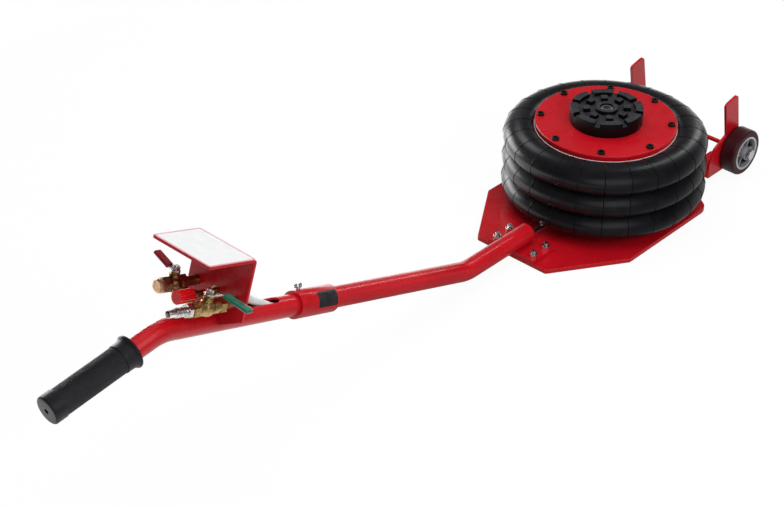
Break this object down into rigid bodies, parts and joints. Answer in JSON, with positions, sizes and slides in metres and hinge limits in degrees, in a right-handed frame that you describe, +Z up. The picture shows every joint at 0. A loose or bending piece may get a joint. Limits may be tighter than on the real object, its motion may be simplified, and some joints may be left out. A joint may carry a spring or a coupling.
{
  "type": "pneumatic air bag jack",
  "caption": "Wheeled low-profile air jack: stacked rubber bellows on a steel plate, ribbed rubber lifting pad, long bent handle with grip, inlet, exhaust and relief valves under a bracket.",
  "frame": {"origin": "on the floor, under the base plate, on the air bag's upright axis", "axes": "+X from the handle's grip towards the wheels, +Y to the left seen from the grip, +Z up along the lift"},
  "size_m": [1.1359, 0.27, 0.2792],
  "materials": {
    "red_paint": "glossy red powder coat",
    "bag_rubber": "smooth semi-gloss black rubber",
    "pad_rubber": "matt moulded black rubber",
    "grip_rubber": "satin black rubber",
    "tyre_polyurethane": "satin maroon polyurethane",
    "hub_plastic": "grey moulded plastic",
    "zinc_steel": "bright zinc plating",
    "black_steel": "black oxide",
    "plain_steel": "oiled steel",
    "brass": "machined brass",
    "nickel": "nickel plating",
    "sintered_bronze": "grainy sintered bronze",
    "manifold_alloy": "machined aluminium",
    "red_plastic": "glossy red plastic",
    "green_plastic": "glossy green plastic",
    "hose_plastic": "milky flexible plastic",
    "seat_plastic": "white sealing plastic"
  },
  "bodies": {
    "base": {"base_plate": "red_paint", "left_wheel_bracket": "red_paint", "right_wheel_bracket": "red_paint", "cross_rod": "red_paint", "handle_flange": "red_paint", "flange_bolts": "zinc_steel", "flange_nuts": "zinc_steel", "lower_tube": "red_paint", "coupling_sleeve": "red_paint", "tube_end_plug": "brass", "bag_inlet_pipe": "zinc_steel", "lower_air_hose": "hose_plastic", "bag_seat": "plain_steel", "lower_bead_ring": "plain_steel", "bottom_screws": "zinc_steel", "lower_convolution": "bag_rubber", "guide_outer_tube": "plain_steel", "axle_bolts": "zinc_steel", "axle_nuts": "zinc_steel", "axle_sleeves": "zinc_steel"},
    "girdle_lower": {"lower_girdle_hoop": "plain_steel", "middle_convolution": "bag_rubber", "guide_second_stage": "plain_steel"},
    "girdle_upper": {"upper_girdle_hoop": "plain_steel", "upper_convolution": "bag_rubber", "guide_third_stage": "plain_steel"},
    "lift_head": {"top_plate": "red_paint", "upper_bead_ring": "plain_steel", "top_screws": "black_steel", "lift_pad": "pad_rubber", "pad_bolt": "black_steel", "guide_inner_rod": "plain_steel"},
    "left_wheel": {"left_wheel_hub": "hub_plastic", "left_tyre": "tyre_polyurethane"},
    "right_wheel": {"right_wheel_hub": "hub_plastic", "right_tyre": "tyre_polyurethane"},
    "handle": {"upper_tube": "red_paint", "handle_grip": "grip_rubber", "valve_bracket": "red_paint", "manifold_block": "manifold_alloy", "inlet_valve_body": "brass", "exhaust_valve_body": "brass", "valve_seats": "seat_plastic", "gland_nuts": "brass", "hose_nipple": "nickel", "exhaust_muffler": "sintered_bronze", "relief_body": "brass", "relief_spring": "plain_steel", "relief_poppet": "brass", "upper_air_hose": "hose_plastic"},
    "inlet_handle": {"inlet_ball_stem": "nickel", "inlet_lever": "nickel", "inlet_lever_sleeve": "green_plastic", "inlet_lever_nut": "nickel"},
    "exhaust_handle": {"exhaust_ball_stem": "nickel", "exhaust_lever": "nickel", "exhaust_lever_sleeve": "red_plastic", "exhaust_lever_nut": "nickel"},
    "relief_knob": {"relief_cap": "red_plastic"},
    "clamp_screw": {"wing_screw": "zinc_steel"}
  },
  "joints": [
    {"name": "lower_lift", "type": "slide", "parent": "base", "child": "girdle_lower", "axis": [0, 0, 1], "range_m": [0, 0.085], "deforming": ["lower_convolution"]},
    {"name": "middle_lift", "type": "slide", "parent": "girdle_lower", "child": "girdle_upper", "axis": [0, 0, 1], "range_m": [0, 0.085], "deforming": ["middle_convolution"]},
    {"name": "upper_lift", "type": "slide", "parent": "girdle_upper", "child": "lift_head", "axis": [0, 0, 1], "range_m": [0, 0.085], "deforming": ["upper_convolution"]},
    {"name": "left_wheel_spin", "type": "hinge", "parent": "base", "child": "left_wheel", "pos_m": [0.191, 0.09245, 0.0327], "axis": [0, 1, 0], "continuous": true},
    {"name": "right_wheel_spin", "type": "hinge", "parent": "base", "child": "right_wheel", "pos_m": [0.191, -0.09245, 0.0327], "axis": [0, 1, 0], "continuous": true},
    {"name": "handle_pull", "type": "slide", "parent": "base", "child": "handle", "axis": [-0.9426, 0, 0.3338], "range_m": [0, 0.03]},
    {"name": "clamp_screw_turn", "type": "hinge", "parent": "base", "child": "clamp_screw", "pos_m": [-0.56023, 0.00502, 0.13965], "axis": [0.3175, 0.309, 0.8965], "continuous": true},
    {"name": "inlet_valve_turn", "type": "hinge", "parent": "handle", "child": "inlet_handle", "pos_m": [-0.72277, -0.03, 0.219], "axis": [-0.3338, 0, -0.9426], "range_deg": [0, 90]},
    {"name": "exhaust_valve_turn", "type": "hinge", "parent": "handle", "child": "exhaust_handle", "pos_m": [-0.71617, 0.03, 0.21666], "axis": [0.3338, 0, 0.9426], "range_deg": [0, 90]},
    {"name": "relief_cap_turn", "type": "hinge", "parent": "handle", "child": "relief_knob", "pos_m": [-0.73266, 0, 0.2225], "axis": [-0.9426, 0, 0.3338], "continuous": true}
  ],
  "couplings": [
    {"joint": "middle_lift", "follows": "lower_lift", "ratio": 1},
    {"joint": "upper_lift", "follows": "lower_lift", "ratio": 1}
  ]
}
